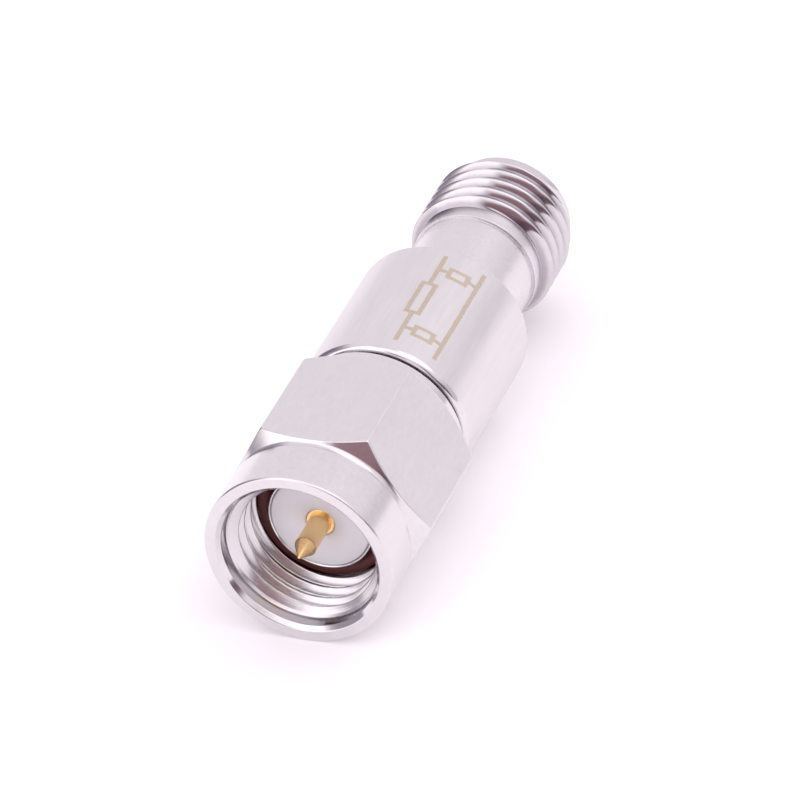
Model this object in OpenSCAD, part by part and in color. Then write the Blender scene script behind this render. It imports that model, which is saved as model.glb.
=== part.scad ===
// In-line coaxial attenuator: a plug with a captive hexagon nut at one end and a threaded jack at the other.
// It lies along +X with the jack towards +X. The origin is on the axis at the plug's mating plane.

/* [Coupling nut] */
// Across the hexagon's flats
nut_af = 8; // [7.6:0.1:9]
// Length of the nut along its axis
nut_length = 9.5; // [9:0.1:12]
// How far the nut reaches in front of the mating plane
nut_overhang = 2.65; // [2.5:0.05:3.1]
// Diameter of the round collar at the nut's front
collar_d = 8; // [7.6:0.1:8.6]
// Length of the round collar
collar_length = 2.33; // [1.8:0.05:2.6]
// Width of the hollow between the collar and the hexagon
hollow_width = 0.4; // [0.3:0.05:0.6]
// Depth of that hollow
hollow_depth = 0.13; // [0.05:0.01:0.25]
// Diameter where the front chamfer starts
chamfer_start_d = 7.88; // [7.4:0.02:7.96]
// Slope of the front chamfer, measured from the end face
front_chamfer_angle = 33; // [25:1:45]
// Slope of the rear chamfer, measured from the end face
rear_chamfer_angle = 45; // [30:1:50]
// Diameter of the rim at the nut's rear
rear_rim_d = 7.46; // [7.1:0.02:7.6]
// Length of the rear rim
rear_rim_length = 0.47; // [0.2:0.01:0.6]
// Flat broken on each corner of the hexagon, measured radially
corner_break = 0.02; // [0.01:0.01:0.1]
// Small chamfers on the nut's round edges
nut_edge = 0.06; // [0.03:0.01:0.2]

/* [Nut bore] */
// Diameter of the mouth's counterbore
counterbore_d = 6.66; // [6.4:0.02:7]
// Depth of the counterbore
counterbore_depth = 0.75; // [0.3:0.05:1]
// Chamfer at the counterbore's mouth
mouth_edge = 0.19; // [0.1:0.01:0.3]
// Minor diameter of the nut's thread
nut_thread_minor_d = 5.74; // [5.7:0.01:5.9]
// Length of the cone that leads into the thread
thread_lead = 0.25; // [0.1:0.05:0.5]
// Depth of the relief behind the thread, measured from the nut's plain bore
relief_depth = 0.42; // [0.3:0.02:0.5]
// Width of that relief
relief_width = 0.6; // [0.4:0.05:0.8]

/* [Plug] */
// Outer diameter of the sleeve at the mating plane
sleeve_d = 4.5; // [4.4:0.02:4.6]
// Wall of the sleeve round its insulator
sleeve_wall = 0.13; // [0.1:0.01:0.2]
// Length of the sleeve in front of the gasket seat
sleeve_length = 1.2; // [1:0.05:1.5]
// Wall of the shank held in the housing
shank_wall = 0.38; // [0.3:0.02:0.45]
// Length of that shank
shank_length = 2; // [1.5:0.1:2.5]
// Thickness of the gasket along the axis
gasket_t = 0.8; // [0.6:0.05:1]
// Width of the gasket, from the sleeve to its rim
gasket_width = 0.5; // [0.4:0.02:0.55]

/* [Retaining ring] */
// Distance from the gasket seat to the shell's ring groove
ring_setback = 2; // [1.5:0.1:2.5]
// Thickness of the ring along the axis
ring_t = 0.5; // [0.4:0.05:0.6]
// Width of the ring, from its inner to its outer edge
ring_width = 0.82; // [0.7:0.02:0.9]
// Wall of the shell under the ring's groove
groove_wall = 0.18; // [0.15:0.01:0.3]
// Opening between the ring's ends
ring_opening = 1.2; // [0.8:0.1:2]
// Whole axial float of the nut on the shell
nut_float = 0.3; // [0.1:0.02:0.4]

/* [Housing] */
// Gap between the nut's rear face and the body
nut_gap = 0.25; // [0.25:0.05:0.8]
// Diameter of the body
body_d = 7.6; // [7.2:0.1:8]
// Length of the body
body_length = 7.65; // [7.35:0.05:12]
// Chamfer on the body's rear edge
body_edge = 0.12; // [0.05:0.01:0.3]
// Length of the rounding on the body's front edge
front_round_length = 0.3; // [0.1:0.01:0.4]
// Radial depth of that rounding
front_round_depth = 0.33; // [0.1:0.01:0.4]
// Depth of the cavity that holds the shank and the carrier
cavity_depth = 6.9; // [6.5:0.05:7.1]
// Diameter of the neck
neck_d = 5.28; // [5.1:0.02:5.4]
// Length of the neck
neck_length = 3.95; // [3:0.05:6]
// Fillet between the body's rear face and the neck
neck_fillet = 0.2; // [0.1:0.05:0.4]

/* [Jack] */
// Major diameter of the jack's thread
jack_thread_d = 6.35; // [6.2:0.01:6.4]
// Length of the jack from the neck to its end
jack_length = 4.69; // [4:0.05:6]
// Radial step where the jack starts
jack_step = 0.12; // [0.05:0.01:0.2]
// Length of the plain shoulder behind the thread
jack_shoulder_length = 0.67; // [0.3:0.01:0.9]
// Length of the cone that rises from the shoulder to the thread
jack_cone = 0.24; // [0.2:0.01:0.6]
// Diameter of the plain lead in front of the thread
jack_lead_d = 5.54; // [5.4:0.02:5.6]
// Length of that lead
jack_lead_length = 0.6; // [0.4:0.05:0.8]
// Small chamfers on the jack's end
jack_edge = 0.08; // [0.04:0.01:0.15]
// Depth of the bore that takes the mating plug's sleeve
recess_depth = 1.95; // [1.7:0.05:2.2]

/* [Contacts] */
// Diameter of both contacts inside their insulators
contact_d = 1.27; // [1.2:0.01:1.4]
// Diameter of the pin's free end
pin_d = 0.91; // [0.9:0.01:0.94]
// How far the pin reaches in front of the mating plane
pin_reach = 2.45; // [1.9:0.05:2.5]
// Length of the pin's cone
pin_cone = 0.75; // [0.6:0.05:1.1]
// Diameter of the cone's blunt tip
pin_tip_d = 0.1; // [0.06:0.02:0.2]
// Chamfer on the pin's shoulder
pin_shoulder_edge = 0.06; // [0.03:0.01:0.1]
// Bore of the socket
socket_bore_d = 0.94; // [0.92:0.01:0.96]
// Depth of that bore
socket_depth = 2.9; // [2.5:0.1:3.5]
// Width of the four slots between the socket's fingers
finger_slot = 0.13; // [0.1:0.01:0.15]
// Length of those slots
finger_length = 2.3; // [1.5:0.1:2.4]
// Chamfer at the socket's mouth
socket_edge = 0.06; // [0.03:0.01:0.1]

/* [Chip] */
// Length of the chip along the axis
chip_length = 4.2; // [3.6:0.1:4.5]
// Width of the chip
chip_width = 3.2; // [2.8:0.1:3.4]
// Thickness of the chip
chip_t = 0.4; // [0.25:0.05:0.5]
// Length of chip gripped by each contact
grip_length = 0.6; // [0.4:0.05:0.8]
// Width of the carrier's channel under and over the chip
channel_width = 2; // [1.8:0.1:2.2]
// Height of that channel, measured from the axis
channel_height = 1.2; // [1:0.1:1.5]

/* [Clearances] */
// Radial clearance between the nut and what turns in it
turn_clearance = 0.08; // [0.05:0.01:0.1]
// Axial clearance on each side of the ring
ring_side_clearance = 0.04; // [0.02:0.01:0.08]
// Radial clearance of a mating plug's sleeve in the jack's bore
mating_clearance = 0.05; // [0.04:0.01:0.1]
// Clearance of the carrier halves in the cavity
carrier_clearance = 0.02; // [0.01:0.01:0.05]
// Clearance beside and behind the chip
chip_clearance = 0.06; // [0.03:0.01:0.1]

/* [Hidden] */
$fn = 96;
// Overshoot of every cut past the surface it leaves through
past = 0.5;

// Diameters that follow the plug's sleeve
insulator_d = sleeve_d - 2 * sleeve_wall;
land_d = sleeve_d + 2 * gasket_width;
shank_d = insulator_d + 2 * shank_wall;
ring_id = insulator_d + 2 * (groove_wall + turn_clearance);
ring_od = ring_id + 2 * ring_width;
recess_d = sleeve_d + 2 * mating_clearance;

// Stations along the axis
nut_front = -nut_overhang;
nut_rear = nut_front + nut_length;
body_x = nut_rear + nut_gap;
shell_end = body_x + shank_length;
cavity_floor = body_x + cavity_depth;
body_end = body_x + body_length;
neck_end = body_end + neck_length;
jack_end = neck_end + jack_length;
jack_plane = jack_end - recess_depth;
carrier_length = cavity_floor - shell_end;
chip_x0 = shell_end + (carrier_length - chip_length) / 2;
chip_x1 = chip_x0 + chip_length;

// The ring's groove in the shell is wider than the ring by the nut's float
shell_groove_x0 = sleeve_length + ring_setback;
shell_groove_x1 = shell_groove_x0 + ring_t + nut_float + 2 * ring_side_clearance;
ring_x0 = (shell_groove_x0 + shell_groove_x1 - ring_t) / 2;
nut_groove_x0 = ring_x0 - ring_side_clearance;
nut_groove_x1 = ring_x0 + ring_t + ring_side_clearance;

// The nut's outline
corner_r = nut_af / 2 / cos(30) - corner_break;
collar_end = nut_front + collar_length;
chamfer_x0 = collar_end + hollow_width;
chamfer_x1 = chamfer_x0 + (corner_r - chamfer_start_d / 2) * tan(front_chamfer_angle);
rim_x0 = nut_rear - rear_rim_length;
rear_chamfer_x0 = rim_x0 - (corner_r - rear_rim_d / 2) * tan(rear_chamfer_angle);

// Steps along each curved outline
hollow_steps = 8;
round_steps = 6;

// The nut's bore
nut_bore_r = land_d / 2 + turn_clearance;
counterbore_x = nut_front + counterbore_depth;
// The thread ends at the gasket's front face
relief_x0 = sleeve_length - gasket_t;
relief_r = nut_bore_r + relief_depth;

// A solid of revolution about X, from points [x, radius]
module turned(profile) {
    rotate([0, 90, 0])
        rotate_extrude()
            polygon([for (p = profile) [p[1], p[0]]]);
}

// A plain round bar or hole along X
module bar(x0, x1, d) {
    translate([x0, 0, 0])
        rotate([0, 90, 0])
            cylinder(d = d, h = x1 - x0);
}

// A tube along X
module tube(x0, x1, outer_d, inner_d) {
    difference() {
        bar(x0, x1, outer_d);
        bar(x0 - past, x1 + past, inner_d);
    }
}

// A smooth dish between the collar's edge and the front chamfer, as points [x, radius]
function hollow_points() = [
    for (i = [0 : hollow_steps])
        let (t = i / hollow_steps)
        [collar_end + t * hollow_width,
         (1 - t) * collar_d / 2 + t * chamfer_start_d / 2 - 4 * hollow_depth * t * (1 - t)]
];

// The six flats, cut from the hollow to the nut's rear
module flats() {
    for (i = [0 : 5])
        rotate([60 * i, 0, 0])
            translate([collar_end + hollow_width / 2, -nut_af, nut_af / 2])
                cube([nut_length, 2 * nut_af, nut_af]);
}

module nut_outline() {
    turned(concat(
        [[nut_front, 0], [nut_front, collar_d / 2 - nut_edge], [nut_front + nut_edge, collar_d / 2]],
        hollow_points(),
        [[chamfer_x1, corner_r], [rear_chamfer_x0, corner_r], [rim_x0, rear_rim_d / 2],
         [nut_rear - nut_edge, rear_rim_d / 2], [nut_rear, rear_rim_d / 2 - nut_edge], [nut_rear, 0]]));
}

module nut_bore() {
    counterbore_r = counterbore_d / 2;
    minor_r = nut_thread_minor_d / 2;
    groove_r = ring_od / 2 + turn_clearance;
    relief_x1 = relief_x0 + relief_width;
    turned([
        [nut_front - past, 0], [nut_front - past, counterbore_r + mouth_edge],
        [nut_front, counterbore_r + mouth_edge], [nut_front + mouth_edge, counterbore_r],
        [counterbore_x, counterbore_r], [counterbore_x + thread_lead, minor_r], [relief_x0, minor_r],
        [relief_x0, relief_r], [relief_x1, relief_r], [relief_x1, nut_bore_r],
        [nut_groove_x0, nut_bore_r], [nut_groove_x0, groove_r],
        [nut_groove_x1, groove_r], [nut_groove_x1, nut_bore_r],
        [nut_rear - nut_edge, nut_bore_r], [nut_rear, nut_bore_r + nut_edge],
        [nut_rear + past, nut_bore_r + nut_edge], [nut_rear + past, 0]]);
}

module coupling_nut() {
    color("silver")
        difference() {
            nut_outline();
            flats();
            nut_bore();
        }
}

// A flat split ring, open at the side
module retaining_ring() {
    color("goldenrod")
        difference() {
            tube(ring_x0, ring_x0 + ring_t, ring_od, ring_id);
            translate([ring_x0 - past, 0, -ring_opening / 2])
                cube([ring_t + 2 * past, ring_od, ring_opening]);
        }
}

module gasket() {
    color("#3f1414")
        tube(sleeve_length - gasket_t, sleeve_length, land_d, sleeve_d);
}

module male_shell() {
    sleeve_r = sleeve_d / 2;
    land_r = land_d / 2;
    groove_r = ring_id / 2 - turn_clearance;
    bore_r = insulator_d / 2;
    sleeve_edge = (sleeve_r - bore_r) / 2;
    color("silver")
        turned([
            [0, bore_r], [0, sleeve_r - sleeve_edge], [sleeve_edge, sleeve_r],
            [sleeve_length, sleeve_r], [sleeve_length, land_r],
            [shell_groove_x0, land_r], [shell_groove_x0, groove_r],
            [shell_groove_x1, groove_r], [shell_groove_x1, land_r],
            [body_x, land_r], [body_x, shank_d / 2],
            [shell_end, shank_d / 2], [shell_end, bore_r]]);
}

module male_insulator() {
    color("gainsboro")
        tube(0, shell_end, insulator_d, contact_d);
}

// The slot that lets a contact's tail grip the chip
module chip_slot(x0, x1) {
    translate([x0, -contact_d, -chip_t / 2])
        cube([x1 - x0, 2 * contact_d, chip_t]);
}

module male_pin() {
    tail = chip_x0 + grip_length;
    cone_x = -pin_reach + pin_cone;
    color("gold")
        difference() {
            turned([
                [-pin_reach, 0], [-pin_reach, pin_tip_d / 2], [cone_x, pin_d / 2], [0, pin_d / 2],
                [0, contact_d / 2 - pin_shoulder_edge], [pin_shoulder_edge, contact_d / 2],
                [tail, contact_d / 2], [tail, 0]]);
            chip_slot(chip_x0 - chip_clearance, tail + past);
        }
}

// The rounded front edge of the body, as points [x, radius]
function front_round_points() = [
    for (i = [0 : round_steps])
        let (angle = 90 * i / round_steps)
        [body_x + front_round_length * (1 - cos(angle)),
         body_d / 2 - front_round_depth * (1 - sin(angle))]
];

module housing() {
    cavity_r = shank_d / 2;
    body_r = body_d / 2;
    neck_r = neck_d / 2;
    thread_r = jack_thread_d / 2;
    lead_r = jack_lead_d / 2;
    recess_r = recess_d / 2;
    bore_r = insulator_d / 2;
    rim_edge = min(jack_edge, (lead_r - recess_r) / 3);
    shoulder_r = neck_r + jack_step;
    cone_x = neck_end + jack_shoulder_length;
    lead_x0 = jack_end - jack_lead_length;
    thread_x1 = lead_x0 - (thread_r - lead_r);
    color("silver")
        turned(concat(
            [[body_x, cavity_r]],
            front_round_points(),
            [[body_end - body_edge, body_r], [body_end, body_r - body_edge],
             [body_end, neck_r + neck_fillet], [body_end + neck_fillet, neck_r],
             [neck_end, neck_r], [neck_end, shoulder_r], [cone_x, shoulder_r],
             [cone_x + jack_cone, thread_r], [thread_x1, thread_r], [lead_x0, lead_r],
             [jack_end - rim_edge, lead_r], [jack_end, lead_r - rim_edge],
             [jack_end, recess_r + rim_edge], [jack_end - rim_edge, recess_r],
             [jack_plane, recess_r], [jack_plane, bore_r],
             [cavity_floor, bore_r], [cavity_floor, cavity_r]]));
}

module female_insulator() {
    color("gainsboro")
        tube(cavity_floor, jack_plane, insulator_d, contact_d);
}

module female_socket() {
    tail = chip_x1 - grip_length;
    bore_r = socket_bore_d / 2;
    bore_x0 = jack_plane - socket_depth;
    color("gold")
        difference() {
            bar(tail, jack_plane, contact_d);
            turned([
                [bore_x0, 0], [bore_x0, bore_r], [jack_plane - socket_edge, bore_r],
                [jack_plane, bore_r + socket_edge], [jack_plane + past, bore_r + socket_edge],
                [jack_plane + past, 0]]);
            for (angle = [45, 135])
                rotate([angle, 0, 0])
                    translate([jack_plane - finger_length, -contact_d, -finger_slot / 2])
                        cube([finger_length + past, 2 * contact_d, finger_slot]);
            chip_slot(tail - past, chip_x1 + chip_clearance);
        }
}

module attenuator_chip() {
    color("whitesmoke")
        translate([chip_x0, -chip_width / 2, -chip_t / 2])
            cube([chip_length, chip_width, chip_t]);
}

// Half of the split carrier: it clamps the chip's two long edges and leaves a channel along the middle
module carrier_half() {
    seat_width = chip_width + 2 * chip_clearance;
    carrier_d = shank_d - 2 * carrier_clearance;
    difference() {
        bar(shell_end, cavity_floor, carrier_d);
        translate([shell_end - past, -carrier_d, -2 * carrier_d])
            cube([carrier_length + 2 * past, 2 * carrier_d, 2 * carrier_d]);
        translate([shell_end - past, -seat_width / 2, -past])
            cube([carrier_length + 2 * past, seat_width, past + chip_t / 2]);
        translate([shell_end - past, -channel_width / 2, -past])
            cube([carrier_length + 2 * past, channel_width, past + channel_height]);
    }
}

module carrier_upper() {
    color("goldenrod")
        carrier_half();
}

module carrier_lower() {
    color("goldenrod")
        rotate([180, 0, 0])
            carrier_half();
}

coupling_nut();
retaining_ring();
gasket();
male_shell();
male_insulator();
male_pin();
housing();
female_insulator();
female_socket();
attenuator_chip();
carrier_upper();
carrier_lower();
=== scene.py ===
"""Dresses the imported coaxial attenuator: turned metal pieces, threads, materials, studio and camera."""
import math

import bpy
import numpy as np
from mathutils import Matrix, Vector


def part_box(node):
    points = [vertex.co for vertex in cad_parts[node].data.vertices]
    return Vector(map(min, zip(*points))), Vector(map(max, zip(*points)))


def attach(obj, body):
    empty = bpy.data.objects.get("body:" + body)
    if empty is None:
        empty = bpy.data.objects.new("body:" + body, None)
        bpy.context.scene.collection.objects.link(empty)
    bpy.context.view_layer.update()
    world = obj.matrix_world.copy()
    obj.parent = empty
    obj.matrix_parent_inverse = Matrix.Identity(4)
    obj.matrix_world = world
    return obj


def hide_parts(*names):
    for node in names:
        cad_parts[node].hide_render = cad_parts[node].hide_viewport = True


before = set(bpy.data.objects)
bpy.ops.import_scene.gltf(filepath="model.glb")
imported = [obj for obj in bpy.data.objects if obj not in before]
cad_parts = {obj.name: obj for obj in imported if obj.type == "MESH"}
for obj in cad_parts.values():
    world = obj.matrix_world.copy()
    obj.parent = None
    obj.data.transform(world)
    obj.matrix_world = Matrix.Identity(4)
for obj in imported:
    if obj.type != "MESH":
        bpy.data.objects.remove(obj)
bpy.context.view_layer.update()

# Sizes are in millimetres unless a comment says metres, and meshes are scaled to metres as they are made
MM = 0.001


def span(node, axis):
    """Where a node of the frame starts and ends along an axis: 0 is X, 1 is Y and 2 is Z."""
    low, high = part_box(node)
    return low[axis] / MM, high[axis] / MM


# Stations and radii taken from the frame
nut_front, nut_rear = span("coupling_nut", 0)
corner_r = span("coupling_nut", 1)[1]
flat_r = span("coupling_nut", 2)[1]
floor_z = span("coupling_nut", 2)[0]
body_front, jack_end = span("housing", 0)
body_r = span("housing", 2)[1]
shell_end = span("male_shell", 0)[1]
land_r = span("male_shell", 2)[1]
gasket_front, gasket_seat = span("gasket", 0)
gasket_r = span("gasket", 2)[1]
insulator_r = span("male_insulator", 2)[1]
pin_tip_x, pin_tail = span("male_pin", 0)
contact_r = span("male_pin", 2)[1]
cavity_floor, jack_plane = span("female_insulator", 0)
ring_x0, ring_x1 = span("retaining_ring", 0)
ring_r = span("retaining_ring", 2)[1]
chip_x0 = span("attenuator_chip", 0)[0]
chip_top = span("attenuator_chip", 2)[1]

# Details of the nut
collar_r = 4.0
collar_length = 2.33
hollow_width = 0.4
hollow_depth = 0.13
cone_start_r = 3.94
front_cone_angle = math.radians(33)
rear_cone_angle = math.radians(45)
rear_rim_r = 3.73
rear_rim_length = 0.47
rear_rim_fillet = 0.06
hex_fillet = 0.05
nut_edge = 0.06
rim_band = 0.2
counterbore_r = 3.33
counterbore_depth = 0.75
mouth_edge = 0.19
thread_lead = 0.25
lead_edge = 0.1
nut_minor_r = 2.87
nut_thread_depth = 0.34
nut_crest_round = 0.04
nut_crest_x = -0.81
thread_fade_in = 0.3
thread_fade_start = 0.3
thread_fade_out = 0.15
relief_depth = 0.42
relief_width = 0.6
turn_clearance = 0.08
ring_side_clearance = 0.04

# Details of the plug
sleeve_r = 2.25
sleeve_chamfer = 0.07
pin_r = 0.455
pin_cone = 0.75
pin_tip_r = 0.05
pin_shoulder_edge = 0.05
shank_r = 2.5
shell_groove_r = 2.3
nut_float = 0.3
jaw_root = 0.06
gasket_clearance = 0.01
gasket_bulge = 0.1
gasket_bulge_length = 0.35
plastic_edge = 0.03
plastic_hole_edge = 0.015

# Details of the housing
body_length = 7.65
body_edge = 0.12
front_round_length = 0.3
front_round_depth = 0.33
neck_r = 2.64
neck_length = 3.95
neck_fillet = 0.2
shoulder_r = 2.76
shoulder_length = 0.67
shoulder_fillet = 0.04
flank_fillet = 0.05
flank_hold = 0.04
first_flank_slope = math.tan(math.radians(66))
thread_r = 3.175
thread_pitch = 25.4 / 36
thread_depth = 0.4
thread_slope = math.tan(math.radians(60))
jack_crest_round = 0.07
jack_crest_x = 20.345
lead_r = 2.77
lead_length = 0.6
jack_edge = 0.08
recess_r = 2.3

# Roundings start this far from a corner, and a row is held a little behind each so that faces stay flat
EDGE_FILLET = 0.03
SMALL_FILLET = 0.02
FINE_FILLET = 0.01
EDGE_HOLD = 0.02

# The largest share of the shorter side that a rounding takes up, and of its own side that a held row does
FILLET_SHARE = 0.3
HOLD_SHARE = 0.45

# Steps along roundings and curves, the distance between a thread's rows, and columns round the pieces
EDGE_STEPS = 5
HOLLOW_STEPS = 8
FRONT_ROUND_STEPS = 9
THREAD_ROW = 0.024
ROUND_COLUMNS = 264
PIN_COLUMNS = 128
JAW_COLUMNS = 24
HEX_CORNER_COLUMNS = 6
HEX_FLAT_COLUMNS = 20

nut_bore_r = gasket_r + turn_clearance
body_end = body_front + body_length
neck_end = body_end + neck_length
lead_x0 = jack_end - lead_length
shoulder_end = neck_end + shoulder_length
thread_x1 = lead_x0 - (thread_r - lead_r)
counterbore_x = nut_front + counterbore_depth
nut_thread_x0 = counterbore_x + thread_lead
nut_thread_x1 = gasket_front


# Rows of points along an outline, each row being one x and one radius per column

def unit(vector):
    """The unit vectors and the lengths of a row of vectors."""
    length = np.linalg.norm(vector, axis=0)
    return vector / length, length


def rounded_corner(before, here, after, fillet):
    """Rows that turn one corner of an outline along a short curve."""
    back, back_length = unit(before - here)
    ahead, ahead_length = unit(after - here)
    cut = np.minimum(fillet, FILLET_SHARE * np.minimum(back_length, ahead_length))
    start = here + cut * back
    end = here + cut * ahead
    curve = []
    for t in np.linspace(0, 1, EDGE_STEPS + 1):
        curve.append((1 - t) ** 2 * start + 2 * t * (1 - t) * here + t ** 2 * end)
    held_start = here + np.minimum(cut + EDGE_HOLD, HOLD_SHARE * back_length) * back
    held_end = here + np.minimum(cut + EDGE_HOLD, HOLD_SHARE * ahead_length) * ahead
    return [held_start, *curve, held_end]


def outline(corners, columns, fillet=EDGE_FILLET):
    """Rows along an open outline of (x, radius) corners. Either may be an array with one value per column.
    A corner's third value is a fillet of its own."""
    points = []
    fillets = []
    for x, r, *own in corners:
        points.append(np.array([np.broadcast_to(x, columns), np.broadcast_to(r, columns)], dtype=float))
        fillets.append(own[0] if own else fillet)
    rows = [points[0]]
    for before, here, after, size in zip(points, points[1:], points[2:], fillets[1:]):
        rows += rounded_corner(before, here, after, size)
    rows.append(points[-1])
    return rows


def from_crest(x, angle, crest_x):
    """How far a place is from a right-hand thread's crest: 0 on it and 1 in the root.
    On top of the part, one crest is at crest_x."""
    turn = ((x - crest_x) / thread_pitch - (angle - math.pi / 2) / (2 * math.pi)) % 1
    return 1 - np.abs(2 * turn - 1)


def thread_cut(x, angles, crest_x, crest_round):
    """How deep a thread with rounded crests and straight flanks is cut at a place."""
    beside_crest = from_crest(x, angles, crest_x) * thread_pitch / 2
    return thread_slope * (np.hypot(beside_crest, crest_round) - crest_round)


def thread_rows(x_from, x_to, angles, radius_at):
    """Close rows across a thread, where radius_at(x, angles) gives one radius per column."""
    count = int(abs(x_to - x_from) / THREAD_ROW) + 1
    rows = []
    for x in np.linspace(x_from, x_to, count):
        rows.append(np.array([np.full(len(angles), x), radius_at(x, angles)]))
    return rows


def round_angles(columns=ROUND_COLUMNS):
    return np.arange(columns) * 2 * math.pi / columns


# Meshes from rows

def mesh_piece(name, vertices, faces, body, slot, nodes, materials, zone=None):
    """A smooth mesh that stands for CAD nodes and rides on their body.
    zone(x, r, slope) picks one of its materials, where slope is how far a face looks along X."""
    mesh = bpy.data.meshes.new(name)
    mesh.from_pydata(vertices.tolist(), [], faces)
    mesh.polygons.foreach_set("use_smooth", [True] * len(mesh.polygons))
    for material in materials:
        mesh.materials.append(material)
    if zone:
        for face in mesh.polygons:
            x, y, z = face.center
            face.material_index = zone(x / MM, math.hypot(y, z) / MM, face.normal.x)
    piece = bpy.data.objects.new(name, mesh)
    bpy.context.scene.collection.objects.link(piece)
    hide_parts(*nodes)
    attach(piece, body)


def row_vertices(rows, angles):
    grid = np.array(rows)
    x = grid[:, 0, :]
    r = grid[:, 1, :]
    return np.stack([x, r * np.cos(angles), r * np.sin(angles)], axis=2).reshape(-1, 3) * MM


def row_faces(row_count, columns, closed):
    """Quads between neighbouring rows. A closed outline also joins its last row to its first."""
    faces = []
    for row in range(row_count if closed else row_count - 1):
        here = row * columns
        there = (row + 1) % row_count * columns
        for column in range(columns):
            beside = (column + 1) % columns
            faces.append((here + column, here + beside, there + beside, there + column))
    return faces


def turned_ring(name, rows, angles, **look):
    """A ring-shaped solid: its outline runs along +X on the outside and back through the bore."""
    mesh_piece(name, row_vertices(rows, angles), row_faces(len(rows), len(angles), True), **look)


def turned_bar(name, rows, angles, extras=(), **look):
    """A solid bar: the first and last rows are closed by flat caps.
    extras are more vertices and faces of the mesh."""
    columns = len(angles)
    vertices = row_vertices(rows, angles)
    faces = row_faces(len(rows), columns, False)
    faces.append(tuple(reversed(range(columns))))
    faces.append(tuple(range((len(rows) - 1) * columns, len(rows) * columns)))
    for more_vertices, more_faces in extras:
        faces += [tuple(len(vertices) + corner for corner in face) for face in more_faces]
        vertices = np.concatenate([vertices, more_vertices])
    mesh_piece(name, vertices, faces, **look)


# Node trees

def add_node(tree, kind, inputs=None, **settings):
    """A shader node with settings, and inputs by socket name or number: a value or another node's output."""
    node = tree.nodes.new(kind)
    for key, value in settings.items():
        setattr(node, key, value)
    for key, value in (inputs or {}).items():
        if isinstance(value, bpy.types.NodeSocket):
            tree.links.new(value, node.inputs[key])
        else:
            node.inputs[key].default_value = value
    return node


def maths(tree, operation, first, second=0.0):
    node = add_node(tree, "ShaderNodeMath", {0: first, 1: second}, operation=operation)
    return node.outputs[0]


def length_of(tree, first, second):
    """The length of a vector with two parts."""
    squares = maths(tree, "ADD", maths(tree, "MULTIPLY", first, first),
                    maths(tree, "MULTIPLY", second, second))
    return maths(tree, "POWER", squares, 0.5)


def new_material(name):
    """A material with its tree and its principled shader."""
    material = bpy.data.materials.new(name)
    material.use_nodes = True
    tree = material.node_tree
    return material, tree, tree.nodes["Principled BSDF"]


def place(tree):
    """The place on the object, in metres of the shared frame."""
    return add_node(tree, "ShaderNodeTexCoord").outputs["Object"]


def noise(tree, scale, detail=2.0, stretch=(1, 1, 1)):
    """Noise that varies over 1 / scale metres, stretched along an axis where its stretch is under 1."""
    mapping = add_node(tree, "ShaderNodeMapping", {"Vector": place(tree), "Scale": stretch})
    node = add_node(tree, "ShaderNodeTexNoise",
                    {"Vector": mapping.outputs["Vector"], "Scale": scale, "Detail": detail})
    return node.outputs["Fac"]


def ranged(tree, value, low, high):
    """A value from 0 to 1 spread over another range."""
    node = add_node(tree, "ShaderNodeMapRange", {"Value": value, "To Min": low, "To Max": high})
    return node.outputs["Result"]


def smooth_step(tree, value, low, high):
    """0 below low, 1 above high and a soft change between them."""
    fade = add_node(tree, "ShaderNodeMapRange", {"Value": value, "From Min": low, "From Max": high},
                    interpolation_type="SMOOTHSTEP")
    return fade.outputs["Result"]


def blend_colours(tree, factor, first, second):
    """A mix of two colours. The mix node keeps colours in its inputs 6 and 7 and its output 2."""
    node = add_node(tree, "ShaderNodeMix", data_type="RGBA")
    for socket, value in ((node.inputs[0], factor), (node.inputs[6], first), (node.inputs[7], second)):
        if isinstance(value, bpy.types.NodeSocket):
            tree.links.new(value, socket)
        else:
            socket.default_value = value
    return node.outputs[2]


def bumped(tree, shader, height, strength, depth):
    """Gives the shader a relief of that depth in metres."""
    node = add_node(tree, "ShaderNodeBump", {"Height": height, "Strength": strength, "Distance": depth})
    tree.links.new(node.outputs["Normal"], shader.inputs["Normal"])


def place_along_axis(tree):
    """How far along the axis and how far from it a place is, in metres."""
    x, y, z = add_node(tree, "ShaderNodeSeparateXYZ", {"Vector": place(tree)}).outputs
    return x, length_of(tree, y, z)


# How much closer the lathe's lines are on an end face than along a cylinder
LINES_ACROSS_FACES = 1.7


def turning_lines(tree, scale):
    """Fine lines round the axis, as a lathe leaves them, on cylinders and on end faces alike."""
    x, r = place_along_axis(tree)
    along = maths(tree, "ADD", x, maths(tree, "MULTIPLY", r, LINES_ACROSS_FACES))
    node = add_node(tree, "ShaderNodeTexNoise", {"W": along, "Scale": scale, "Detail": 3.0},
                    noise_dimensions="1D")
    return node.outputs["Fac"]


# Each material's shade varies between two colours
STEEL_SHADES = ((0.68, 0.66, 0.675, 1), (0.79, 0.77, 0.785, 1))
NICKEL_SHADES = ((0.62, 0.60, 0.62, 1), (0.72, 0.70, 0.72, 1))
GOLD_SHADES = ((0.86, 0.60, 0.29, 1), (0.95, 0.70, 0.37, 1))
PTFE_SHADES = ((0.93, 0.935, 0.99, 1), (0.97, 0.975, 1.0, 1))
SILICONE_SHADES = ((0.11, 0.020, 0.019, 1), (0.15, 0.030, 0.028, 1))
BRONZE_SHADES = ((0.60, 0.36, 0.18, 1), (0.70, 0.45, 0.24, 1))
ALUMINA_SHADES = ((0.74, 0.73, 0.70, 1), (0.82, 0.81, 0.79, 1))
# The grey of the painted shade at the bottom of the jack's grooves
GROOVE_SHADE_GREY = (0.44, 0.42, 0.45, 1)
MARK_TAN = (0.57, 0.49, 0.37, 1)

# How much of steel's change of shade comes from its patches and from its grain, and the grain's scale
PATCH_SHARE = 0.6
GRAIN_SHARE = 0.8
GRAIN_SCALE = 5500
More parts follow.
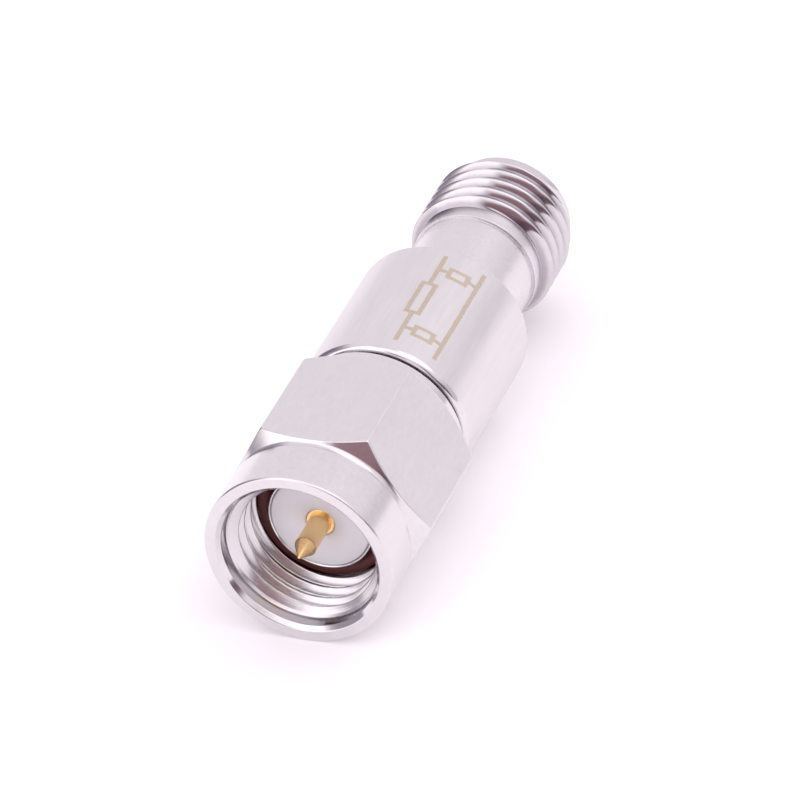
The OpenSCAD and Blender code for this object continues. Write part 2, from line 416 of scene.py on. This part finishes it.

# How far below the crest the painted shade in the jack's grooves is full and where it ends, how uneven its
# edge is, and the length over which the unshaded lead begins
GROOVE_FULL_SHADE = 0.30
GROOVE_SHADE_END = 0.08
GROOVE_UNEVEN = 0.08
LEAD_FADE = 0.1


def steel(name, roughness, spread, patch_scale=700, stretch=(1, 1, 1), shades=STEEL_SHADES):
    """Plated steel. Its shade varies in soft patches and in a fine grain, which also varies the roughness."""
    material, tree, shader = new_material(name)
    patches = noise(tree, patch_scale, detail=3, stretch=stretch)
    grain = noise(tree, GRAIN_SCALE, detail=3, stretch=stretch)
    shade = maths(tree, "ADD", maths(tree, "MULTIPLY", patches, PATCH_SHARE),
                  maths(tree, "MULTIPLY", grain, GRAIN_SHARE))
    shade = maths(tree, "SUBTRACT", shade, (PATCH_SHARE + GRAIN_SHARE - 1) / 2)
    shader.inputs["Metallic"].default_value = 1
    tree.links.new(blend_colours(tree, shade, *shades), shader.inputs["Base Color"])
    tree.links.new(ranged(tree, grain, roughness - spread, roughness + spread), shader.inputs["Roughness"])
    return material, tree, shader


def satin_steel(name):
    """Finely brushed steel, for the nut's flats."""
    material, tree, shader = steel(name, roughness=0.33, spread=0.06, patch_scale=900, stretch=(0.4, 1, 1))
    brushed = noise(tree, 12000, detail=3, stretch=(0.12, 1, 1))
    bumped(tree, shader, brushed, strength=0.5, depth=0.000002)
    return material


def turned_steel(name, roughness, line_depth, line_scale=14000):
    """Steel as it comes off the lathe. line_depth is in metres."""
    material, tree, shader = steel(name, roughness, spread=roughness / 4)
    bumped(tree, shader, turning_lines(tree, line_scale), strength=0.5, depth=line_depth)
    return material


def jack_steel():
    """Bright nickel for the jack's thread, with painted shade that turns it grey towards the bottom of its
    grooves.
    """
    material, tree, shader = steel("steel_jack", roughness=0.1, spread=0.03, shades=NICKEL_SHADES)
    plain = shader.inputs["Base Color"].links[0].from_socket
    x, r = place_along_axis(tree)
    wander = maths(tree, "SUBTRACT", noise(tree, 4000, detail=3), 0.5)
    uneven = maths(tree, "MULTIPLY", wander, GROOVE_UNEVEN * MM)
    on_flank = smooth_step(tree, maths(tree, "ADD", r, uneven),
                           (thread_r - GROOVE_FULL_SHADE) * MM, (thread_r - GROOVE_SHADE_END) * MM)
    on_lead = smooth_step(tree, x, thread_x1 * MM, (thread_x1 + LEAD_FADE) * MM)
    unshaded = maths(tree, "MAXIMUM", on_flank, on_lead)
    # Painted shade: the thread's colour turns grey towards the bottom of its grooves, while the lead stays
    # plain
    tree.links.new(blend_colours(tree, unshaded, GROOVE_SHADE_GREY, plain), shader.inputs["Base Color"])
    return material


def box_mask(tree, u, v, box):
    """1 inside a box (u0, u1, v0, v1) of the etched mark and 0 outside it."""
    u0, u1, v0, v1 = box
    from_middle_u = maths(tree, "ABSOLUTE", maths(tree, "SUBTRACT", u, (u0 + u1) / 2))
    from_middle_v = maths(tree, "ABSOLUTE", maths(tree, "SUBTRACT", v, (v0 + v1) / 2))
    in_u = maths(tree, "LESS_THAN", from_middle_u, (u1 - u0) / 2)
    in_v = maths(tree, "LESS_THAN", from_middle_v, (v1 - v0) / 2)
    return maths(tree, "MULTIPLY", in_u, in_v)


def frame_mask(tree, u, v, box, line):
    """1 on the outline of a box and 0 elsewhere."""
    u0, u1, v0, v1 = box
    inside = box_mask(tree, u, v, (u0 + line, u1 - line, v0 + line, v1 - line))
    return maths(tree, "SUBTRACT", box_mask(tree, u, v, box), inside)


# The etched mark is the drawing symbol of a resistor pad.
# Its places are stations along the axis and arc lengths from the top.
MARK_X0 = 7.9
MARK_X1 = 14.2
MARK_RAIL = 0.75
MARK_GROUND = 2.55
MARK_LINE = 0.2
MARK_LEGS = (8.9, 13.2)
MARK_RESISTOR = (2.3, 0.75)
MARK_LEG_RESISTOR = (0.75, 1.0)
MARK_RAGGED = 0.09


def mark_mask(tree):
    """1 where the body is etched."""
    x, y, z = add_node(tree, "ShaderNodeSeparateXYZ", {"Vector": place(tree)}).outputs
    angle = maths(tree, "ARCTAN2", maths(tree, "MULTIPLY", y, -1.0), z)
    wander = maths(tree, "SUBTRACT", noise(tree, 9000, detail=2), 0.5)
    ragged = maths(tree, "MULTIPLY", wander, MARK_RAGGED)
    u = maths(tree, "ADD", maths(tree, "DIVIDE", x, MM), ragged)
    v = maths(tree, "ADD", maths(tree, "MULTIPLY", angle, body_r), ragged)
    half = MARK_LINE / 2
    middle = (MARK_X0 + MARK_X1) / 2
    series = (middle - MARK_RESISTOR[0] / 2, middle + MARK_RESISTOR[0] / 2,
              MARK_RAIL - MARK_RESISTOR[1] / 2, MARK_RAIL + MARK_RESISTOR[1] / 2)
    bars = [(MARK_X0, series[0], MARK_RAIL - half, MARK_RAIL + half),
            (series[1], MARK_X1, MARK_RAIL - half, MARK_RAIL + half),
            (MARK_X0, MARK_X1, MARK_GROUND - half, MARK_GROUND + half)]
    frames = [series]
    leg_middle = (MARK_RAIL + MARK_GROUND) / 2
    for leg in MARK_LEGS:
        leg_box = (leg - MARK_LEG_RESISTOR[0] / 2, leg + MARK_LEG_RESISTOR[0] / 2,
                   leg_middle - MARK_LEG_RESISTOR[1] / 2, leg_middle + MARK_LEG_RESISTOR[1] / 2)
        frames.append(leg_box)
        bars.append((leg - half, leg + half, MARK_RAIL, leg_box[2]))
        bars.append((leg - half, leg + half, leg_box[3], MARK_GROUND))
    mask = 0.0
    for box in bars:
        mask = maths(tree, "MAXIMUM", box_mask(tree, u, v, box), mask)
    for box in frames:
        mask = maths(tree, "MAXIMUM", frame_mask(tree, u, v, box, MARK_LINE), mask)
    return mask


def body_steel():
    """The body's satin steel, streaked along the axis.
    Its etched mark is speckled, as a beam that burns unevenly leaves it."""
    material, tree, shader = steel("steel_body", roughness=0.33, spread=0.06, patch_scale=2200,
                                   stretch=(0.12, 1, 1))
    plain = shader.inputs["Base Color"].links[0].from_socket
    speckle = ranged(tree, noise(tree, 16000, detail=2), low=0.45, high=1.25)
    etched = maths(tree, "MULTIPLY", mark_mask(tree), maths(tree, "MINIMUM", speckle, 1.0))
    tree.links.new(blend_colours(tree, etched, plain, MARK_TAN), shader.inputs["Base Color"])
    bumped(tree, shader, turning_lines(tree, 9000), strength=0.4, depth=0.000002)
    return material


def gold():
    """Gold plate, smooth, with slow changes of shade."""
    material, tree, shader = new_material("gold_plate")
    patches = noise(tree, 2500, detail=2)
    shader.inputs["Metallic"].default_value = 1
    tree.links.new(blend_colours(tree, patches, *GOLD_SHADES), shader.inputs["Base Color"])
    tree.links.new(ranged(tree, patches, low=0.2, high=0.3), shader.inputs["Roughness"])
    return material


def ptfe():
    """Turned white plastic, with faint rings round the axis. Its subsurface scale is in metres."""
    material, tree, shader = new_material("ptfe")
    patches = noise(tree, 1500, detail=3)
    tree.links.new(blend_colours(tree, patches, *PTFE_SHADES), shader.inputs["Base Color"])
    tree.links.new(ranged(tree, patches, low=0.4, high=0.55), shader.inputs["Roughness"])
    shader.inputs["Subsurface Weight"].default_value = 0.15
    shader.inputs["Subsurface Scale"].default_value = 0.0004
    bumped(tree, shader, turning_lines(tree, 12000), strength=0.4, depth=0.000003)
    return material


def silicone():
    """Dark red-brown rubber with a matt, uneven skin."""
    material, tree, shader = new_material("silicone")
    patches = noise(tree, 2500, detail=3)
    tree.links.new(blend_colours(tree, patches, *SILICONE_SHADES), shader.inputs["Base Color"])
    tree.links.new(ranged(tree, patches, low=0.4, high=0.6), shader.inputs["Roughness"])
    bumped(tree, shader, noise(tree, 14000, detail=3), strength=0.4, depth=0.000003)
    return material


def bronze():
    """Spring bronze with a fine grain across the axis."""
    material, tree, shader = new_material("spring_bronze")
    grain = noise(tree, 8000, detail=3, stretch=(1, 0.3, 0.3))
    shader.inputs["Metallic"].default_value = 1
    tree.links.new(blend_colours(tree, grain, *BRONZE_SHADES), shader.inputs["Base Color"])
    tree.links.new(ranged(tree, grain, low=0.25, high=0.4), shader.inputs["Roughness"])
    return material


def alumina():
    """Fine-grained white ceramic."""
    material, tree, shader = new_material("alumina")
    grain = noise(tree, 12000, detail=3)
    tree.links.new(blend_colours(tree, grain, *ALUMINA_SHADES), shader.inputs["Base Color"])
    tree.links.new(ranged(tree, grain, low=0.5, high=0.7), shader.inputs["Roughness"])
    return material


STEEL_FLATS = satin_steel("steel_flats")
STEEL_TURNED = turned_steel("steel_turned", roughness=0.2, line_depth=0.000002)
STEEL_BRIGHT = turned_steel("steel_bright", roughness=0.12, line_depth=0.000001)
STEEL_BORE = turned_steel("steel_bore", roughness=0.24, line_depth=0.000006)
STEEL_NECK = turned_steel("steel_neck", roughness=0.3, line_depth=0.0000005, line_scale=5000)
STEEL_JACK = jack_steel()
STEEL_BODY = body_steel()
GOLD = gold()
PTFE = ptfe()
SILICONE = silicone()
BRONZE = bronze()
ALUMINA = alumina()


# Pieces of the nut

def hexagon():
    """Columns round the nut, close together at its six rounded corners, and the hexagon's radius at each."""
    fillet = (flat_r / math.cos(math.pi / 6) - corner_r) / (1 / math.cos(math.pi / 6) - 1)
    centre = corner_r - fillet
    half_arc = math.atan2(fillet * math.sin(math.pi / 6), centre + fillet * math.cos(math.pi / 6))
    beside_arc = half_arc * 1.3
    half = np.concatenate([np.linspace(0, half_arc, HEX_CORNER_COLUMNS),
                           np.linspace(beside_arc, math.pi / 6, HEX_FLAT_COLUMNS)])
    sixth = np.concatenate([-half[:0:-1], half[:-1]])
    radius = np.where(
        np.abs(sixth) <= half_arc,
        centre * np.cos(sixth) + np.sqrt(np.maximum(fillet ** 2 - (centre * np.sin(sixth)) ** 2, 0)),
        flat_r / np.cos(math.pi / 6 - np.abs(sixth)))
    angles = np.concatenate([sixth + k * math.pi / 3 for k in range(6)])
    return angles, np.tile(radius, 6)


def hollow():
    """The dish between the collar and the front cone, as corners."""
    collar_end = nut_front + collar_length
    corners = []
    for t in np.linspace(0, 1, HOLLOW_STEPS + 1):
        r = (1 - t) * collar_r + t * cone_start_r - 4 * hollow_depth * t * (1 - t)
        corners.append((collar_end + t * hollow_width, r))
    return corners


def nut_thread_radius(x, angles):
    """The nut's thread: its crests stand inward, and it fades out at both ends."""
    cut = np.minimum(thread_cut(x, angles, nut_crest_x, nut_crest_round), nut_thread_depth)
    fade_in = np.clip((x - nut_thread_x0) / thread_fade_in + thread_fade_start, 0, 1)
    fade_out = np.clip((nut_thread_x1 - x) / thread_fade_out, 0, 1)
    return nut_minor_r + cut * (fade_in * fade_out)


def coupling_nut():
    angles, hex_r = hexagon()
    columns = len(angles)
    cone_x0 = nut_front + collar_length + hollow_width
    rim_x0 = nut_rear - rear_rim_length
    flat_x0 = cone_x0 + (hex_r - cone_start_r) * math.tan(front_cone_angle)
    flat_x1 = rim_x0 - (hex_r - rear_rim_r) * math.tan(rear_cone_angle)
    face_r = (collar_r + counterbore_r + mouth_edge) / 2
    groove_r = ring_r + turn_clearance
    groove_x0 = ring_x0 - ring_side_clearance
    groove_x1 = ring_x1 + ring_side_clearance
    relief_r = nut_bore_r + relief_depth
    relief_x1 = nut_thread_x1 + relief_width
    outside = outline([
        (nut_front, face_r), (nut_front, collar_r - nut_edge), (nut_front + nut_edge, collar_r), *hollow(),
        (flat_x0, hex_r, hex_fillet), (flat_x1, hex_r, hex_fillet), (rim_x0, rear_rim_r, rear_rim_fillet),
        (nut_rear - nut_edge, rear_rim_r), (nut_rear, rear_rim_r - nut_edge),
        (nut_rear, nut_bore_r + nut_edge), (nut_rear - nut_edge, nut_bore_r),
        (groove_x1, nut_bore_r), (groove_x1, groove_r), (groove_x0, groove_r), (groove_x0, nut_bore_r),
        (relief_x1, nut_bore_r), (relief_x1, relief_r), (nut_thread_x1, relief_r),
        (nut_thread_x1, nut_minor_r + EDGE_FILLET)], columns)
    thread = thread_rows(nut_thread_x1 - EDGE_FILLET, nut_thread_x0, angles, nut_thread_radius)
    mouth = outline([
        (nut_thread_x0 - EDGE_HOLD, nut_thread_radius(nut_thread_x0, angles) + EDGE_HOLD),
        (counterbore_x + lead_edge / 2, counterbore_r - lead_edge),
        (counterbore_x - lead_edge / 2, counterbore_r), (nut_front + mouth_edge, counterbore_r),
        (nut_front, counterbore_r + mouth_edge), (nut_front, face_r - EDGE_HOLD)], columns)

    margin = 0.02
    flat_slope = 0.2
    flats, turned, bright, bore = range(4)

    def finish_zone(x, r, slope):
        if r > flat_r - margin and x > cone_x0 and abs(slope) < flat_slope:
            return flats
        if r < counterbore_r - margin and x < nut_thread_x1:
            return bore
        return turned if r > collar_r - rim_band and x < cone_x0 else bright

    turned_ring("nut", outside + thread + mouth, angles, body="nut", slot="steel", nodes=["coupling_nut"],
                materials=[STEEL_FLATS, STEEL_TURNED, STEEL_BRIGHT, STEEL_BORE], zone=finish_zone)


# Pieces of the plug

def male_shell():
    angles = round_angles()
    groove_x0 = ring_x0 - nut_float / 2 - ring_side_clearance
    groove_x1 = ring_x1 + nut_float / 2 + ring_side_clearance
    rows = outline([
        (sleeve_chamfer, insulator_r), (0, insulator_r + sleeve_chamfer, SMALL_FILLET),
        (0, sleeve_r - sleeve_chamfer / 3, FINE_FILLET), (sleeve_chamfer / 3, sleeve_r, FINE_FILLET),
        (gasket_seat, sleeve_r), (gasket_seat, land_r), (groove_x0, land_r), (groove_x0, shell_groove_r),
        (groove_x1, shell_groove_r), (groove_x1, land_r), (body_front, land_r), (body_front, shank_r),
        (shell_end, shank_r), (shell_end, insulator_r)], len(angles))
    turned_ring("plug_shell", rows, angles, body="connector", slot="steel", nodes=["male_shell"],
                materials=[STEEL_BRIGHT])


def gasket():
    """The gasket bulges a little where the nut leaves it room."""
    angles = round_angles()
    inner_r = sleeve_r + gasket_clearance
    middle = (gasket_front + gasket_seat) / 2
    rows = outline([
        (gasket_front, inner_r), (gasket_front, gasket_r + gasket_bulge),
        (gasket_front + gasket_bulge_length, gasket_r + gasket_bulge / 2),
        (gasket_seat, gasket_r), (gasket_seat, inner_r), (middle, inner_r)], len(angles))
    turned_ring("gasket_ring", rows, angles, body="connector", slot="silicone", nodes=["gasket"],
                materials=[SILICONE])


def insulator(name, node, x0, x1, hole_r):
    """A plastic bush with broken edges, so that a fine line shows round it."""
    angles = round_angles()
    rows = outline([
        (x0, hole_r + plastic_hole_edge), (x0, insulator_r - plastic_edge), (x0 + plastic_edge, insulator_r),
        (x1 - plastic_edge, insulator_r), (x1, insulator_r - plastic_edge), (x1, hole_r + plastic_hole_edge),
        (x1 - plastic_hole_edge, hole_r), (x0 + plastic_hole_edge, hole_r)], len(angles), FINE_FILLET)
    turned_ring(name, rows, angles, body="connector", slot="ptfe", nodes=[node], materials=[PTFE])


def jaw(side):
    """One of the two half-round jaws at the pin's tail, as vertices and faces.
    side is 1 above the chip or -1 below."""
    low = math.asin(chip_top / contact_r)
    arc = np.linspace(low, math.pi - low, JAW_COLUMNS)
    count = len(arc)
    vertices = []
    for x in (chip_x0 - jaw_root, pin_tail):
        end = [np.full(count, x), contact_r * np.cos(arc), side * contact_r * np.sin(arc)]
        vertices.append(np.stack(end, axis=1))
    faces = [tuple(range(count)), tuple(range(2 * count - 1, count - 1, -1))]
    for k in range(count):
        beside = (k + 1) % count
        faces.append((beside, k, count + k, count + beside))
    if side < 0:
        faces = [tuple(reversed(face)) for face in faces]
    return np.concatenate(vertices) * MM, faces


def male_pin():
    angles = round_angles(PIN_COLUMNS)
    cone_x = pin_tip_x + pin_cone
    rows = outline([
        (pin_tip_x, pin_tip_r / 5), (pin_tip_x, pin_tip_r), (cone_x, pin_r), (0, pin_r),
        (0, contact_r - pin_shoulder_edge), (pin_shoulder_edge, contact_r),
        (chip_x0 - jaw_root, contact_r), (chip_x0 - jaw_root, contact_r / 2)], len(angles), SMALL_FILLET)
    turned_bar("pin", rows, angles, extras=[jaw(1), jaw(-1)], body="connector", slot="gold",
               nodes=["male_pin"], materials=[GOLD])


# The housing

def jack_thread_radius(x, angles):
    """The jack's thread, with rounded crests, between the flank behind it and the chamfer at its end."""
    cut = thread_r - np.minimum(thread_cut(x, angles, jack_crest_x, jack_crest_round), thread_depth)
    first_flank = shoulder_r + first_flank_slope * max(0.0, x - shoulder_end)
    chamfer = thread_r - max(0.0, x - thread_x1)
    return np.maximum(np.minimum(np.minimum(cut, first_flank), chamfer), shoulder_r)


def front_round():
    """The rounded front edge of the body, as corners."""
    corners = []
    for angle in np.linspace(0, math.pi / 2, FRONT_ROUND_STEPS + 1):
        corners.append((body_front + front_round_length * (1 - math.cos(angle)),
                        body_r - front_round_depth * (1 - math.sin(angle))))
    return corners


def housing():
    angles = round_angles()
    columns = len(angles)
    face_r = (body_r + shank_r) / 2
    neck_arc_middle = neck_fillet * 0.3
    back = outline([
        (body_front, face_r), *front_round(), (body_end - body_edge, body_r),
        (body_end, body_r - body_edge), (body_end, neck_r + neck_fillet),
        (body_end + neck_arc_middle, neck_r + neck_arc_middle), (body_end + neck_fillet, neck_r),
        (neck_end, neck_r), (neck_end, shoulder_r, shoulder_fillet), (shoulder_end, shoulder_r, flank_fillet),
        (shoulder_end + flank_hold, shoulder_r + first_flank_slope * flank_hold)], columns)
    thread = thread_rows(shoulder_end + flank_hold + EDGE_HOLD, lead_x0 - EDGE_HOLD, angles,
                         jack_thread_radius)
    jack = outline([
        (lead_x0, lead_r), (jack_end - jack_edge, lead_r), (jack_end, lead_r - jack_edge),
        (jack_end, recess_r + jack_edge), (jack_end - jack_edge, recess_r),
        (jack_plane, recess_r), (jack_plane, insulator_r), (cavity_floor, insulator_r),
        (cavity_floor, shank_r), (body_front, shank_r), (body_front, face_r - EDGE_HOLD)], columns)

    margin = 0.01
    round_slope = 0.1
    jack_x0 = shoulder_end - flank_fillet
    streaked, plain, bright, nickel = range(4)

    def finish_zone(x, r, slope):
        if r > body_r - margin and abs(slope) < round_slope:
            return streaked
        if x < body_front + margin or (body_end + neck_fillet < x < jack_x0 and r > shank_r):
            return plain
        return nickel if x > jack_x0 and r > recess_r + 2 * margin else bright

    turned_ring("body", back + thread + jack, angles, body="connector", slot="steel", nodes=["housing"],
                materials=[STEEL_BODY, STEEL_NECK, STEEL_BRIGHT, STEEL_JACK], zone=finish_zone)


# CAD nodes that stay as they are get materials only

def dress_nodes():
    looks = {"retaining_ring": BRONZE, "female_socket": GOLD, "attenuator_chip": ALUMINA,
             "carrier_upper": BRONZE, "carrier_lower": BRONZE}
    for name, material in looks.items():
        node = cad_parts[name]
        node.data.materials.clear()
        node.data.materials.append(material)


# Studio

# The camera's place, directions and focal length follow the photograph
CAMERA_PLACE = Vector((-192.77, -89.57, 149.61)) * MM
CAMERA_HEADING = math.radians(23.90)
CAMERA_FALL = math.radians(34.15)
CAMERA_ROLL = math.radians(-6.98)
CAMERA_SENSOR = 36.0
FOCAL_PIXELS = 6455.2
IMAGE_PIXELS = 800
CLIP_START = 10
CLIP_END = 10000
FLOOR_HALF = 3000


def camera():
    data = bpy.data.cameras.new("camera")
    data.sensor_width = CAMERA_SENSOR
    data.lens = FOCAL_PIXELS * CAMERA_SENSOR / IMAGE_PIXELS
    data.clip_start = CLIP_START * MM
    data.clip_end = CLIP_END * MM
    piece = bpy.data.objects.new("camera", data)
    turn = (Matrix.Rotation(CAMERA_HEADING - math.pi / 2, 4, "Z")
            @ Matrix.Rotation(math.pi / 2 - CAMERA_FALL, 4, "X")
            @ Matrix.Rotation(CAMERA_ROLL, 4, "Z"))
    piece.matrix_world = Matrix.Translation(CAMERA_PLACE) @ turn
    bpy.context.scene.collection.objects.link(piece)
    bpy.context.scene.camera = piece


def floor():
    """A pale table that glows a little, as one lit from below does, so that shadows on it stay faint."""
    material, _, shader = new_material("floor")
    shader.inputs["Base Color"].default_value = (0.93, 0.915, 0.93, 1)
    shader.inputs["Roughness"].default_value = 0.7
    shader.inputs["Specular IOR Level"].default_value = 0.1
    shader.inputs["Emission Color"].default_value = (1.0, 0.97, 1.0, 1)
    shader.inputs["Emission Strength"].default_value = 0.19
    half = FLOOR_HALF * MM
    z = floor_z * MM
    mesh = bpy.data.meshes.new("floor")
    corners = [(-half, -half, z), (half, -half, z), (half, half, z), (-half, half, z)]
    mesh.from_pydata(corners, [], [(0, 1, 2, 3)])
    mesh.materials.append(material)
    piece = bpy.data.objects.new("floor", mesh)
    bpy.context.scene.collection.objects.link(piece)


def tent_panel(tree, azimuth, half_width, low, high, soft):
    """1 within one panel of the tent, fading to 0 outside it. Angles are in degrees: the azimuth is 0 along
    +X and 90 along +Y, low and high are heights above the horizon, and soft is half the width of the fade."""
    ray = add_node(tree, "ShaderNodeTexCoord").outputs["Generated"]
    x, y, z = add_node(tree, "ShaderNodeSeparateXYZ", {"Vector": ray}).outputs
    level = length_of(tree, x, y)
    along_x = maths(tree, "MULTIPLY", x, math.cos(math.radians(azimuth)))
    along_y = maths(tree, "MULTIPLY", y, math.sin(math.radians(azimuth)))
    towards = maths(tree, "DIVIDE", maths(tree, "ADD", along_x, along_y), level)
    sideways = smooth_step(tree, towards, math.cos(math.radians(half_width + soft)),
                           math.cos(math.radians(max(half_width - soft, 0))))
    height = maths(tree, "ARCTAN2", z, level)
    above = smooth_step(tree, height, math.radians(low - soft), math.radians(low + soft))
    below = smooth_step(tree, height, math.radians(high + soft), math.radians(high - soft))
    return maths(tree, "MULTIPLY", sideways, maths(tree, "MULTIPLY", above, below))


# Panels of the light tent, each laid over those before it:
# azimuth, half the width, lower edge, upper edge, softness and light
TENT_WHITE = (1.0, 0.935, 0.98, 1)
TENT_PANELS = {
    "right soft box": (-75, 50, 42, 80, 6, (1.75, 1.64, 1.72, 1)),
    "front soft box": (-165, 40, 44, 85, 6, (1.45, 1.36, 1.42, 1)),
    "left soft box": (147, 19, -8, 62, 5, (1.6, 1.5, 1.57, 1)),
    "right wall in shade": (-90, 32, -2, 25, 6, (0.74, 0.68, 0.72, 1)),
    "far corner in shade": (-40, 20, -4, 13, 5, (0.80, 0.75, 0.78, 1)),
    "left wall in shade": (91, 32, -6, 40, 7, (0.40, 0.355, 0.42, 1)),
    "gap in the left wall": (80, 20, 6, 30, 5, (0.22, 0.20, 0.26, 1)),
    "opening for the photographer": (-166, 21, -12, 32, 4, (0.37, 0.23, 0.255, 1)),
    "edge of the opening": (-136, 15, -12, 17, 4, (0.40, 0.30, 0.34, 1)),
    "photographer": (-152, 28, -4, 12, 4, (0.18, 0.11, 0.125, 1))}


def tent():
    """A white light tent with soft boxes, shaded walls and a dark opening towards the photographer."""
    world = bpy.data.worlds.new("tent")
    world.use_nodes = True
    tree = world.node_tree
    colour = TENT_WHITE
    for azimuth, half_width, low, high, soft, light in TENT_PANELS.values():
        colour = blend_colours(tree, tent_panel(tree, azimuth, half_width, low, high, soft), colour, light)
    background = tree.nodes["Background"]
    tree.links.new(colour, background.inputs["Color"])
    background.inputs["Strength"].default_value = 1.0
    bpy.context.scene.world = world
    bpy.context.scene.view_settings.view_transform = "Standard"


camera()
floor()
tent()

coupling_nut()
male_shell()
gasket()
insulator("plug_insulator", "male_insulator", 0.0, shell_end, contact_r)
male_pin()
housing()
insulator("jack_insulator", "female_insulator", cavity_floor, jack_plane, contact_r)
dress_nodes()
